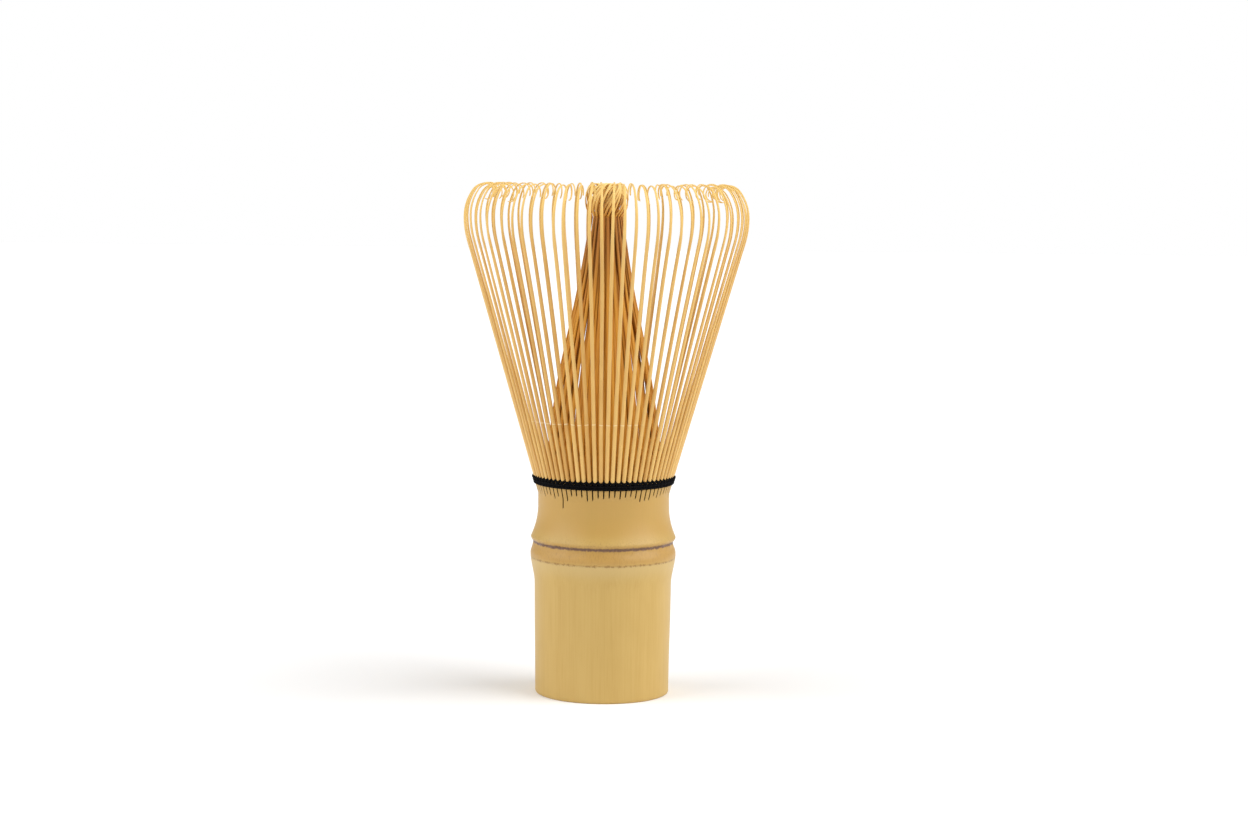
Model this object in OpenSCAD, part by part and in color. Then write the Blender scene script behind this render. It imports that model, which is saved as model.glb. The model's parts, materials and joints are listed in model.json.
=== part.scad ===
// Bamboo tea whisk: one length of culm, split above its node into outer and inner tines,
// and one black thread laced round the outer tines. Millimetres, +Z up, origin at the
// centre of the foot, front towards -Y.

/* [Culm] */
// Outer diameter of the culm at its foot
foot_d = 28.4; // [25:0.2:34]
// How much wider the culm is just below its node than at its foot
culm_swell = 0.6; // [0:0.1:1.5]
// Outer diameter at the lower ridge of the node
node_d = 30.8; // [29.6:0.2:36]
// Outer diameter at the narrowest part of the neck
neck_d = 27.8; // [25:0.2:33]
// Height of the node's groove above the foot
node_z = 32.4; // [24:0.2:60]
// Height from the node's groove to where the slits start
neck_h = 8.2; // [6:0.2:20]
// Thickness of the culm wall at the foot
wall_t = 3.6; // [2.4:0.1:4.5]
// Thickness of the septum that closes the culm at its node
septum_t = 2; // [1:0.1:4]

/* [Outer tines] */
// Overall height of the whisk
whisk_h = 108.4; // [95:0.2:130]
// Number of outer tines, and of inner ones
tine_count = 72; // [48:24:72]
// How far the hand-made splitting drifts from even, in degrees, closest at the front
split_drift = 3.8; // [0:0.2:5]
// Outward lean of the outer tines, in degrees
tine_lean = 16.4; // [10:0.2:20]
// Width of an outer tine at the lacing
tine_root_w = 0.98; // [0.6:0.02:1.05]
// Width of an outer tine at its tip
tine_tip_w = 0.66; // [0.4:0.02:0.9]
// Radial thickness of an outer tine at the lacing
tine_root_t = 0.8; // [0.6:0.05:1]
// Radial thickness of an outer tine where its curl starts
tine_curl_t = 0.42; // [0.3:0.02:0.6]
// Radial thickness of an outer tine at its tip
tine_tip_t = 0.26; // [0.2:0.02:0.4]

/* [Inner tines] */
// Diameter of the inner bundle at the top of its shafts
bundle_d = 8.1; // [7.6:0.1:12]
// Height of the roots of the inner tines, which stay still when the bundle sways
root_h = 12; // [8:0.5:20]
// Width of an inner tine at its root
inner_root_w = 0.6; // [0.4:0.02:0.7]
// Width of an inner tine at the top of its shaft
inner_top_w = 0.26; // [0.18:0.02:0.28]
// Radial thickness of an inner tine at its root
inner_root_t = 0.55; // [0.4:0.05:0.6]
// Radial thickness of an inner tine at the top of its shaft
inner_top_t = 0.3; // [0.2:0.02:0.4]
// Diameter of the knot of curled tips on top of the inner bundle
tip_knot_d = 9.2; // [8.8:0.2:13]
// Height of the knot of curled tips
tip_knot_h = 7.2; // [5:0.2:8]

/* [Lacing] */
// Diameter of the black thread
thread_d = 0.56; // [0.4:0.02:0.7]
// Turns of thread round the outer tines
thread_turns = 3; // [2:1:4]
// Depth of the shaved seat under the lacing
seat_depth = 0.22; // [0.1:0.02:0.3]

/* [Hidden] */
$fn = 72;

// Colours
culm_colour = "#c9a765";
tine_colour = "#d9b06a";
inner_colour = "#c4883a";
thread_colour = "#0b0a0c";

// Splitting: tines are counted from the front, towards +X
group_count = 24;
group_size = tine_count / group_count;
even_pitch = 360 / tine_count;
split_z = node_z + neck_h;
upright_h = 2.2;
lean_z = split_z + upright_h;
slit_w = 0.32;
layer_gap = 0.1;
play = 0.02;
over_cut = 1;

// The lacing lies on the outer tines, and the tines bend from just above it
lace_rise = 2.1;
bend_rise = 0.4;
lace_z = lean_z + lace_rise;
lace_top = lace_z + thread_turns * thread_d;
bend_z = lace_top + bend_rise;
bend_gap = 0.2;
stub_top = bend_z - bend_gap / 2;
tine_foot = bend_z + bend_gap / 2;
neck_r = neck_d / 2;

// Radius of the skin side of the outer tines, which is straight up to the curl
function skin_r(z) = neck_r + max(0, z - lean_z) * tan(tine_lean);

// Curl of an outer tine: the heading from upright, inwards negative, at the end of each arc
curl_headings = [tine_lean, 0, -35, -90, -190];
curl_radii = [18, 9.4, 3.4, 2.2];
curl_steps = [3, 4, 6, 8];
function arc_rise(i) = curl_radii[i] * (sin(curl_headings[i]) - sin(curl_headings[i + 1]));
curl_z = whisk_h - arc_rise(0) - arc_rise(1) - arc_rise(2);

// Inner layer of the culm wall, which the inner tines are split from
inner_r = neck_r - tine_root_t - layer_gap;
// It sways in two flat cuts, to the sides above the lower and to and fro above the upper
bundle_top = whisk_h - tip_knot_h;
sway_low = bend_z + root_h;
sway_high = (sway_low + bundle_top) / 2;
inner_slope = (inner_r - bundle_d / 2) / (bundle_top - stub_top);
function inner_skin_r(z) = inner_r - (z - stub_top) * inner_slope;

// Bores of the culm: a round cup above the septum opens by a cone to the ledge where the roots start
septum_rim = 0.8;
cup_step = 1.4;
ledge_drop = 0.8;
inner_slit_rise = 0.4;
bore_r = foot_d / 2 - wall_t;
septum_r = bore_r + septum_rim;
cup_r = inner_r - inner_root_t - cup_step;
septum_z = node_z - septum_t;
ledge_z = lean_z - ledge_drop;

// Angle of tine k from the front; k may be a half, for the gap between two tines
function tine_angle(k) =
    let (even = (k + 0.5) * even_pitch)
    even - split_drift * sin(even);
// Local pitch at tine k over the even pitch
function pitch_share(k) = 1 - split_drift * PI / 180 * cos((k + 0.5) * even_pitch);

module at_tine(k) {
    rotate(tine_angle(k) - 90) children();
}

// A strip that stands in the XZ plane, from its outline, with its width across Y
module strip(outline, low_w, high_w, low_z, high_z, reach) {
    intersection() {
        rotate([90, 0, 0]) linear_extrude(low_w + high_w, center = true) polygon(outline);
        rotate([90, 0, 90]) linear_extrude(reach) polygon([
            [-low_w / 2, low_z], [low_w / 2, low_z],
            [high_w / 2, high_z], [-high_w / 2, high_z]]);
    }
}

// ---- culm ----

// Smooth run of points from one station of the culm's skin to the next, end left out
function ease(a, b, steps) = [
    for (i = [0 : steps - 1])
        let (t = i / steps, s = (1 - cos(180 * t)) / 2)
        [a[0] + (b[0] - a[0]) * s, a[1] + (b[1] - a[1]) * t]];

foot_chamfer = 0.4;
neck_straight = 0.7;
foot_r = foot_d / 2;
waist = [foot_r + culm_swell / 2, node_z - 9];
lower_ridge = [node_d / 2, node_z - 2.4];
node_groove = [node_d / 2 - 0.6, node_z];
upper_ridge = [node_d / 2 - 0.2, node_z + 1.1];
skin = concat(
    [[foot_r - foot_chamfer, 0]],
    ease([foot_r, foot_chamfer], waist, 2),
    ease(waist, lower_ridge, 6),
    ease(lower_ridge, node_groove, 4),
    ease(node_groove, upper_ridge, 3),
    ease(upper_ridge, [neck_r, split_z - neck_straight], 7),
    [[neck_r, split_z - neck_straight], [neck_r, lean_z]]);

seat_margin = 0.1;
seat_z = lace_z - seat_margin;
seat_top = lace_top + seat_margin;
outer_stub = [
    [skin_r(seat_z), seat_z], [skin_r(seat_z) - seat_depth, seat_z],
    [skin_r(seat_top) - seat_depth, seat_top], [skin_r(seat_top), seat_top],
    [skin_r(stub_top), stub_top], [skin_r(stub_top) - tine_root_t, stub_top],
    [neck_r - tine_root_t, lean_z]];
inner_stub = [
    [inner_r, lean_z], [inner_r, stub_top],
    [inner_r - inner_root_t, stub_top], [inner_r - inner_root_t, ledge_z]];
bores = [
    [cup_r, ledge_z - cup_step], [cup_r, node_z], [septum_r, node_z],
    [septum_r, septum_z], [bore_r, septum_z], [bore_r, 0]];

// A V-shaped slit across a band of the wall
slit_top = stub_top + over_cut;
module slit(low_z, from_r, to_r) {
    translate([from_r, 0, 0]) rotate([90, 0, 90]) linear_extrude(to_r - from_r)
        polygon([[0, low_z], [slit_w / 2, slit_top], [-slit_w / 2, slit_top]]);
}

module culm() {
    split_r = inner_r + layer_gap / 2;
    color(culm_colour) difference() {
        rotate_extrude() polygon(concat(skin, outer_stub, inner_stub, bores));
        for (k = [0 : tine_count - 1]) {
            at_tine(k + 0.5) slit(split_z, split_r, skin_r(stub_top) + over_cut);
            at_tine(k) slit(ledge_z + inner_slit_rise, cup_r, split_r);
        }
    }
}

module septum() {
    color(culm_colour) translate([0, 0, septum_z + play])
        cylinder(r = septum_r - play, h = septum_t - 2 * play);
}

// ---- lacing ----

function turn_z(i) = lace_z + thread_d * (i + 0.5);
thread_off = thread_d / 2 / cos(tine_lean) + play;
thread_facets = 24;

module turns(offset_r) {
    for (i = [0 : thread_turns - 1])
        rotate_extrude() translate([skin_r(turn_z(i)) + offset_r, turn_z(i)])
            circle(d = thread_d - 2 * play, $fn = thread_facets);
}

module lacing_outer_turns() {
    color(thread_colour) turns(thread_off - seat_depth);
}

module lacing_inner_turns() {
    color(thread_colour) turns(-tine_root_t / cos(tine_lean) - thread_off);
}

// The thread where it is pressed flat in a slit, between the outer and the inner turns
flat_share = 0.8;
module lacing_crossings() {
    flat_w = slit_w * (lace_z - split_z) / (slit_top - split_z) * flat_share;
    outline = [
        [skin_r(lace_z) - tine_root_t, lace_z], [skin_r(lace_z) - seat_depth, lace_z],
        [skin_r(lace_top) - seat_depth, lace_top], [skin_r(lace_top) - tine_root_t, lace_top]];
    color(thread_colour) for (k = [0 : tine_count - 1]) at_tine(k + 0.5)
        rotate([90, 0, 0]) linear_extrude(flat_w, center = true) polygon(outline);
}

// Overhand knot that ends the thread, at the back, against the last turn
knot_r = thread_d * 1.2;
knot_l = thread_d * 3;
module lacing_knot() {
    z = turn_z(thread_turns - 1);
    turn_r = skin_r(z) + thread_off - seat_depth;
    color(thread_colour) rotate(90) translate([turn_r + thread_d / 2 + knot_r + play, 0, z])
        rotate([90, 0, 0]) cylinder(r = knot_r, h = knot_l, center = true);
}

// ---- outer tines ----

// Points along the skin side of the curl, each with its heading and its share of the curl's turn
function curl_point(i) = i == 0
    ? [skin_r(curl_z), curl_z]
    : let (p = curl_point(i - 1), a = curl_headings[i - 1], b = curl_headings[i], r = curl_radii[i - 1])
        [p[0] + r * (cos(b) - cos(a)), p[1] + r * (sin(a) - sin(b))];
curl = [
    for (i = [0 : len(curl_radii) - 1], j = [0 : curl_steps[i]])
        if (i == 0 || j > 0)
            let (a = curl_headings[i], h = a + (curl_headings[i + 1] - a) * j / curl_steps[i],
                p = curl_point(i), r = curl_radii[i])
            [p[0] + r * (cos(h) - cos(a)), p[1] + r * (sin(a) - sin(h)), h]];
function curl_t(h) =
    let (share = (tine_lean - h) / (tine_lean - curl_headings[len(curl_headings) - 1]))
    tine_curl_t + (tine_tip_t - tine_curl_t) * share;

outer_outline = concat(
    [[skin_r(tine_foot), tine_foot]],
    [for (p = curl) [p[0], p[1]]],
    [for (i = [len(curl) - 1 : -1 : 0])
        let (p = curl[i], t = curl_t(p[2])) [p[0] - t * cos(p[2]), p[1] + t * sin(p[2])]],
    [[skin_r(tine_foot) - tine_root_t, tine_foot]]);

module outer_tine(k) {
    share = pitch_share(k);
    at_tine(k) strip(outer_outline, tine_root_w * share, tine_tip_w * share,
        tine_foot - play, whisk_h + play, foot_d * 2);
}

module outer_tines(group) {
    color(tine_colour) for (k = [0 : group_size - 1]) outer_tine(group * group_size + k);
}

// ---- inner tines ----

function inner_t(z) = inner_root_t + (inner_top_t - inner_root_t) * (z - stub_top) / (bundle_top - stub_top);
function inner_w(z) = inner_root_w + (inner_top_w - inner_root_w) * (z - stub_top) / (bundle_top - stub_top);

// The stretch of every inner tine between two heights; each stands opposite a slit
module inner_stretch(low, high) {
    outline = [
        [inner_skin_r(low), low], [inner_skin_r(high), high],
        [inner_skin_r(high) - inner_t(high), high], [inner_skin_r(low) - inner_t(low), low]];
    color(inner_colour) for (k = [0 : tine_count - 1]) at_tine(k + 0.5)
        strip(outline, inner_w(low), inner_w(high), low, high, foot_d);
}

module inner_tine_roots() {
    inner_stretch(stub_top, sway_low - bend_gap / 2);
}

module inner_tines_middle() {
    inner_stretch(sway_low + bend_gap / 2, sway_high - bend_gap / 2);
}

module inner_tines_upper() {
    inner_stretch(sway_high + bend_gap / 2, bundle_top);
}

// The curled tips of the inner tines, which hook over each other into a bun on the tines' tops
module tip_knot() {
    round_r = tip_knot_h / 2;
    flat_r = tip_knot_d / 2 - round_r;
    color(inner_colour) translate([0, 0, bundle_top]) rotate_extrude() intersection() {
        union() {
            translate([flat_r, round_r]) circle(round_r);
            square([flat_r, tip_knot_h]);
            square([bundle_d / 2, round_r]);
        }
        square([tip_knot_d, tip_knot_h]);
    }
}

culm();
septum();
lacing_outer_turns();
lacing_inner_turns();
lacing_crossings();
lacing_knot();
inner_tine_roots();
inner_tines_middle();
inner_tines_upper();
tip_knot();
for (group = [0 : group_count - 1])
    outer_tines(group);
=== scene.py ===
"""Looks of a bamboo tea whisk: the culm handle, its shaved tines, the tip knot and the black lacing."""

import json
import math
import random

import bmesh
import bpy
from bpy.props import FloatProperty, FloatVectorProperty, IntProperty, PointerProperty
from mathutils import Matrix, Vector, noise


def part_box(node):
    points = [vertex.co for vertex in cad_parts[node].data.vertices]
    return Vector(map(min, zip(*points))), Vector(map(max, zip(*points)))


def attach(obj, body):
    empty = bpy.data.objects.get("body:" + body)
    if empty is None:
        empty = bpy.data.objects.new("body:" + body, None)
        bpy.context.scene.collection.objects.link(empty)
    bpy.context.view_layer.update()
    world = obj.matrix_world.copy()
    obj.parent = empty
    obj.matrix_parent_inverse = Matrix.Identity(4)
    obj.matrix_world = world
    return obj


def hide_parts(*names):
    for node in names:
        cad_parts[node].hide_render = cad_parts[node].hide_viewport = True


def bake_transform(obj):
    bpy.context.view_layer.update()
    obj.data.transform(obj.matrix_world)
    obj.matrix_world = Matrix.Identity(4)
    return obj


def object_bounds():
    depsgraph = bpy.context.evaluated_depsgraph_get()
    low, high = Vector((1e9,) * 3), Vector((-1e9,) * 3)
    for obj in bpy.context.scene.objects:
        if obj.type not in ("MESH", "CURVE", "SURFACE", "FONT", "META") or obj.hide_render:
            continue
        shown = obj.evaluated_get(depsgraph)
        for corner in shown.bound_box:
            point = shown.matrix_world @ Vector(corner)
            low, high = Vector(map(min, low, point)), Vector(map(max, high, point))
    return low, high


bl_info = {
    "name": "Bamboo Tea Whisk",
    "version": (1, 0, 0),
    "blender": (4, 5, 0),
    "location": "3D View > Sidebar > Tea Whisk",
    "description": "Builds the visible pieces of a bamboo tea whisk around its packed frame",
    "category": "Object",
}

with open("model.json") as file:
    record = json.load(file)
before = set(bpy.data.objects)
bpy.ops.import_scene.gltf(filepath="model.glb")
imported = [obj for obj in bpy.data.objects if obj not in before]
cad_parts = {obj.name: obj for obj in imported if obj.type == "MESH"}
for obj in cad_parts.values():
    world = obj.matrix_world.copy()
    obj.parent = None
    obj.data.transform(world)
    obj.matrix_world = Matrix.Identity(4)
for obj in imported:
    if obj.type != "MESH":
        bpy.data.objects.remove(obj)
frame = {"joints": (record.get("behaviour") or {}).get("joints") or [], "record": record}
CAD_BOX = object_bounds()
MM = 0.001
FULL_TURN = 2 * math.pi
UP = Vector((0.0, 0.0, 1.0))

# What the frame fixes: the hinges, the lacing, the septum, the ridge, both knots, the bore and the
# height where the inner tines are cut in two for their sway
HINGES = [joint for joint in frame["joints"] if joint["type"] == "hinge"]
LACE_LOW, LACE_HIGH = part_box("lacing_outer_turns")
INNER_LACE_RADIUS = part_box("lacing_inner_turns")[1].x
SEPTUM_LOW, SEPTUM_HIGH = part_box("septum")
RIDGE_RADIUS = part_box("culm")[1].x
KNOT_LOW, KNOT_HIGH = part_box("tip_knot")
END_KNOT_LOW, END_KNOT_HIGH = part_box("lacing_knot")
BORE = next(mount for mount in frame["record"]["mounts"] if mount["name"] == "foot_bore")
BORE_RADIUS = BORE["dims"]["r_mm"] * MM
WHISK_TOP = CAD_BOX[1].z
SWAY_SPLIT = (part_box("inner_tines_middle")[1].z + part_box("inner_tines_upper")[0].z) / 2
INNER_FOOT = LACE_LOW.z + 0.4 * MM


# ---- settings ----


def length(name, description, default):
    """A property that holds a length in metres."""
    return FloatProperty(name=name, description=description, default=default, unit="LENGTH", precision=5)


def angle(name, description, degrees):
    """A property that holds an angle."""
    return FloatProperty(
        name=name, description=description, default=math.radians(degrees), subtype="ANGLE"
    )


def srgb(hex_colour):
    """A hex sRGB colour as linear red, green and blue."""
    channels = [int(hex_colour[i : i + 2], 16) / 255 for i in (1, 3, 5)]
    return tuple(c / 12.92 if c <= 0.04045 else ((c + 0.055) / 1.055) ** 2.4 for c in channels)


def colour(name, description, hex_colour):
    """A property that holds a linear colour, given as sRGB hex."""
    return FloatVectorProperty(
        name=name, description=description, default=srgb(hex_colour), subtype="COLOR", size=3, min=0, max=1
    )


class WHISK_PG_culm(bpy.types.PropertyGroup):
    """Sizes and colours of the culm handle."""

    foot_radius: length("Foot radius", "Outside radius of the culm at its foot", 14.2 * MM)
    swell: length("Swell", "How much the radius grows from the foot to just below the node", 0.3 * MM)
    ridge_radius: length("Ridge radius", "Radius at the lower ridge of the node", RIDGE_RADIUS)
    groove_depth: length("Groove depth", "Depth of the scar's groove under the lower ridge", 0.6 * MM)
    lip_drop: length("Lip drop", "How much lower the upper lip stands than the lower ridge", 0.05 * MM)
    neck_radius: length("Neck radius", "Radius at the narrowest part of the neck", 13.9 * MM)
    node_height: length("Node height", "Height of the scar above the foot", SEPTUM_HIGH.z)
    ring_drop: length("Ring drop", "How far the root ring lies below the scar", 3.3 * MM)
    neck_height: length("Neck height", "Height where the neck is narrowest", LACE_LOW.z - 5 * MM)
    flare_height: length("Flare height", "Height where the split wall leans out", LACE_LOW.z - 2.2 * MM)
    seat_depth: length("Seat depth", "Depth of the shaved seat under the lacing", 0.22 * MM)
    slit_short: length("Shortest slit", "How far the shortest slit shows below the lacing", 1.5 * MM)
    slit_long: length("Longest slit", "How far the longest slit shows below the lacing", 2.9 * MM)
    slit_depth: length("Slit depth", "How deep the slits are cut into the skin", 0.75 * MM)
    crack: length("Crack", "How far the one slit that cracked runs into the neck", 4.4 * MM)
    skin_colour: colour("Skin", "Colour of the culm's dry skin", "#c6a55f")
    shade_colour: colour("Skin shade", "Colour of the darker streaks in the skin", "#b9954c")
    bloom_colour: colour("Bloom", "Colour of the waxy bloom below the root ring", "#c9b07a")
    neck_colour: colour("Neck", "Colour of the skin above the node", "#bb9149")
    ridge_colour: colour("Ridge", "Colour of the skin between scar and root ring", "#b48640")
    streak_colour: colour("Streak", "Colour of the short streaks on the ridge", "#8f6231")
    bud_colour: colour("Buds", "Colour of the root ring's buds", "#85602c")
    ring_colour: colour("Ring", "Colour of the line that the buds stand on", "#8a6230")
    scar_colour: colour("Scar", "Colour of the scar where the sheath grew", "#5b4038")
    worn_scar_colour: colour("Worn scar", "Colour of the scar where it is worn", "#7d6152")
    speck_colour: colour("Specks", "Colour of the specks where the sheath's hairs stood", "#77553a")
    # Painted shade: the near black that stands for the shade deep in the slits
    slit_shade_colour: colour("Slit", "Colour in the depth of the slits", "#2a1a0e")
    pith_colour: colour("Pith", "Colour of the cut wall", "#cfb47e")
    grain_colour: colour("Grain", "Colour of the grain in the cut wall", "#cba970")
    bundle_colour: colour("Fibre bundles", "Colour of the fibre bundles in the cut wall", "#9a7038")


class WHISK_PG_tines(bpy.types.PropertyGroup):
    """Sizes and colours of the outer tines."""

    count: IntProperty(name="Tines", description="Number of outer tines", default=72)
    drift: angle("Drift", "How far the splitting drifts from even, closest at the front", 3.8)
    lean: angle("Lean", "Outward lean of the straight part", 16.4)
    root_width: length("Root width", "Width of a tine at the lacing", 1.0 * MM)
    shoulder_width: length("Shoulder width", "Width of a tine where its curl starts", 0.72 * MM)
    tip_width: length("Tip width", "Width of a tine at its tip", 0.3 * MM)
    root_thickness: length("Root thickness", "Radial thickness of a tine at the lacing", 0.8 * MM)
    shoulder_thickness: length("Shoulder thickness", "Radial thickness where the curl starts", 0.38 * MM)
    tip_thickness: length("Tip thickness", "Radial thickness of a tine at its tip", 0.24 * MM)
    unevenness: length("Unevenness", "Spread of the heights of the tines' tops", 0.35 * MM)
    sway: length("Sway", "Spread of the tines' small sideways bends", 0.22 * MM)
    # Height above the lacing of the faint pale line painted across the front tines
    front_line_height: length("Cut height", "How far the faint cut line lies above the lacing", 12.7 * MM)
    tip_drift: length("Tip drift", "Spread of how far the tips curl to one side", 0.5 * MM)
    seed: IntProperty(name="Seed", description="Seed of the tines' hand-made differences", default=4)
    light_colour: colour("Light", "Colour of the shaved wood", "#e2b86a")
    dark_colour: colour("Dark", "Colour of the darker tines and fibres", "#c89444")
    tip_colour: colour("Tip", "Colour of the thin steamed tips", "#f3cc76")
    # Colour of the faint pale line painted across the front tines
    front_line_colour: colour("Cut", "Colour of the faint line across the front tines", "#f3dfb4")


class WHISK_PG_bundle(bpy.types.PropertyGroup):
    """Sizes and colours of the inner tines and their knot of tips."""

    count: IntProperty(name="Inner tines", description="Number of inner tines", default=72)
    layers: IntProperty(name="Layers", description="Layers that the tines close up into", default=3)
    root_radius: length("Root radius", "Radius of the ring of roots", 12.75 * MM)
    neck_radius: length("Neck radius", "Radius of the bundle under its knot", 3.3 * MM)
    layer_step: length("Layer step", "How much closer to the axis each next layer lies", 0.75 * MM)
    belly: length("Belly", "How far the bundle bulges outwards in its lower half", 1.3 * MM)
    bow: length("Bow", "How far a tine may bend out of its layer", 0.5 * MM)
    root_width: length("Root width", "Width of an inner tine at its root", 1.06 * MM)
    neck_width: length("Neck width", "Width of an inner tine under the knot", 0.52 * MM)
    tip_width: length("Tip width", "Width of a flattened inner tip", 0.44 * MM)
    root_thickness: length("Root thickness", "Radial thickness at the root", 0.64 * MM)
    tip_thickness: length("Tip thickness", "Thickness of a flattened inner tip", 0.24 * MM)
    swirl: angle("Swirl", "How far round the knot a tip turns", 95)
    seed: IntProperty(name="Seed", description="Seed of the inner tines' differences", default=11)
    light_colour: colour("Light", "Colour of the inner tines", "#dd9e31")
    dark_colour: colour("Dark", "Colour of the inner tines' dark fibres", "#c07c1c")
    # Painted shade: the colour of the shade that the knot casts on the inner tines under it
    neck_colour: colour("Neck", "Colour of the inner tines under the knot", "#9a5c13")
    knot_colour: colour("Knot", "Colour of the curled inner tips", "#ffe293")


class WHISK_PG_lacing(bpy.types.PropertyGroup):
    """Sizes and colours of the thread."""

    diameter: length("Thread diameter", "Diameter of the thread", 0.56 * MM)
    turns: IntProperty(name="Turns", description="Turns round the outer tines", default=3)
    plies: IntProperty(name="Plies", description="Plies twisted into the thread", default=3)
    twist: length("Twist", "Length of one turn of the thread's twist", 1.5 * MM)
    rise: length("Rise", "How far the top turn climbs between two tines", 0.5 * MM)
    press: length("Press", "How far the top turn is pressed in between two tines", 0.45 * MM)
    colour: colour("Thread", "Colour of the dyed cotton", "#060507")
    fluff_glint_colour: colour("Fluff", "Colour of the light that the fibres catch", "#242427")


class WHISK_PG_stage(bpy.types.PropertyGroup):
    """Camera and light."""

    distance: length("Distance", "Distance of the camera from the whisk's axis", 0.5465)
    height: length("Height", "Height of the camera above the floor", 0.1114)
    pitch: angle("Pitch", "How far the camera looks down", 5.46)
    pan: angle("Pan", "How far the camera looks to the right of the whisk", 0.37)
    roll: angle("Roll", "How far the camera is turned about its view", -0.65)
    focal: FloatProperty(name="Focal length", description="Focal length in mm", default=74.7)
    sky: FloatProperty(name="Room light", description="Strength of the light from the room", default=0.4)
    key: FloatProperty(name="Key light", description="Strength of the soft key light", default=2.4)
    key_side: angle("Key side", "Side that the key light comes from, from +X", -15)
    key_height: angle("Key height", "How high the key light stands", 40)
    fill: FloatProperty(name="Fill light", description="Strength of the soft fill light", default=1.7)
    fill_side: angle("Fill side", "Side that the fill light comes from, from +X", -165)
    fill_height: angle("Fill height", "How high the fill light stands", 35)
    spread: angle("Spread", "How wide the two soft lights are", 60)
    floor_reach: length("Floor reach", "Half the width of the floor", 3.0)


# ---- small sums ----


def smooth(t):
    """Smoothstep of t, held between 0 and 1."""
    t = min(max(t, 0.0), 1.0)
    return t * t * (3 - 2 * t)


def mixed(a, b, share):
    """Between a and b."""
    return a + (b - a) * share


def spaced(low, high, step):
    """Heights from low up to, and without, high."""
    count = max(1, round((high - low) / step))
    return [low + (high - low) * i / count for i in range(count)]


def ray(way):
    """Level direction at an angle from +X."""
    return Vector((math.cos(way), math.sin(way), 0.0))


def aside(way):
    """Level direction square to the ray at an angle from +X."""
    return Vector((-math.sin(way), math.cos(way), 0.0))


# ---- nodes and meshes ----


def add(tree, kind, values=None, **settings):
    """Adds a node. values gives its inputs, by name or number: a plain value, or the output that feeds it."""
    node = tree.nodes.new(kind)
    for key, value in settings.items():
        setattr(node, key, value)
    for key, value in (values or {}).items():
        if isinstance(value, bpy.types.NodeSocket):
            tree.links.new(value, node.inputs[key])
        else:
            node.inputs[key].default_value = value
    return node


def maths(tree, operation, first, second=0.0):
    """One sum on one or two values."""
    return add(tree, "ShaderNodeMath", {0: first, 1: second}, operation=operation).outputs[0]


def times(tree, first, second):
    """One value times another."""
    return maths(tree, "MULTIPLY", first, second)


def vector_maths(tree, operation, first, second):
    """One sum on two vectors."""
    return add(tree, "ShaderNodeVectorMath", {0: first, 1: second}, operation=operation).outputs[0]


def scaled(tree, vector, scale):
    """A vector times a value."""
    return add(tree, "ShaderNodeVectorMath", {0: vector, "Scale": scale}, operation="SCALE").outputs[0]


def new_piece(name, mesh, materials):
    """A finished mesh as a piece of the whisk."""
    mesh.name = name
    mesh.materials.clear()
    for material in materials:
        mesh.materials.append(material)
    mesh.shade_smooth()
    piece = bpy.data.objects.new(name, mesh)
    bpy.context.scene.collection.objects.link(piece)
    return piece


def bridge(work, low, high):
    """Faces between two rings of vertices."""
    for column, vertex in enumerate(low):
        after = (column + 1) % len(low)
        work.faces.new((vertex, low[after], high[after], high[column]))


def finished_mesh(work, mesh):
    """Turns every closed shell of a bmesh to face outwards, and writes it to a mesh."""
    bmesh.ops.recalc_face_normals(work, faces=work.faces)
    work.to_mesh(mesh)
    work.free()
    return mesh


def polylines(name, lines):
    """An object of open lines. Each line is a list of points, and a point is a dict of its attributes."""
    mesh = bpy.data.meshes.new(name)
    points = [point for line in lines for point in line]
    edges, start = [], 0
    for line in lines:
        edges += [(start + i, start + i + 1) for i in range(len(line) - 1)]
        start += len(line)
    mesh.from_pydata([point["place"] for point in points], edges, [])
    for key, value in points[0].items():
        vector = isinstance(value, Vector)
        attribute = mesh.attributes.new(key, "FLOAT_VECTOR" if vector else "FLOAT", "POINT")
        for item, point in zip(attribute.data, points):
            setattr(item, "vector" if vector else "value", point[key])
    source = bpy.data.objects.new(name, mesh)
    bpy.context.scene.collection.objects.link(source)
    return source


def run_nodes(source, tree, inputs):
    """The plain mesh that a node tree makes of a source, which is then removed."""
    modifier = source.modifiers.new("Make", "NODES")
    modifier.node_group = tree
    for item in tree.interface.items_tree:
        if item.in_out == "INPUT" and item.name in inputs:
            modifier[item.identifier] = inputs[item.name]
    evaluated = source.evaluated_get(bpy.context.evaluated_depsgraph_get())
    mesh = bpy.data.meshes.new_from_object(evaluated)
    bpy.data.meshes.remove(source.data)
    work = bmesh.new()
    work.from_mesh(mesh)
    return finished_mesh(work, mesh)


def start_tree(name, inputs):
    """An empty geometry tree that takes Lines and the given inputs, and its inputs' sockets."""
    tree = bpy.data.node_groups.new(name, "GeometryNodeTree")
    for label, kind, default in (("Lines", "Geometry", None), *inputs, ("Material", "Material", None)):
        socket = tree.interface.new_socket(label, in_out="INPUT", socket_type="NodeSocket" + kind)
        if default is not None:
            socket.default_value = default
    tree.interface.new_socket("Mesh", in_out="OUTPUT", socket_type="NodeSocketGeometry")
    return tree, add(tree, "NodeGroupInput").outputs


def swept(tree, curve, profile):
    """A closed mesh of a profile swept along curves."""
    values = {"Curve": curve, "Profile Curve": profile, "Fill Caps": True}
    return add(tree, "GeometryNodeCurveToMesh", values).outputs["Mesh"]


def end_tree(tree, geometry, material):
    """Ends a geometry tree with real geometry in its material."""
    real = add(tree, "GeometryNodeRealizeInstances", {"Geometry": geometry}).outputs[0]
    painted = add(tree, "GeometryNodeSetMaterial", {"Geometry": real, "Material": material})
    add(tree, "NodeGroupOutput", {"Mesh": painted.outputs[0]})
    return tree


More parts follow.
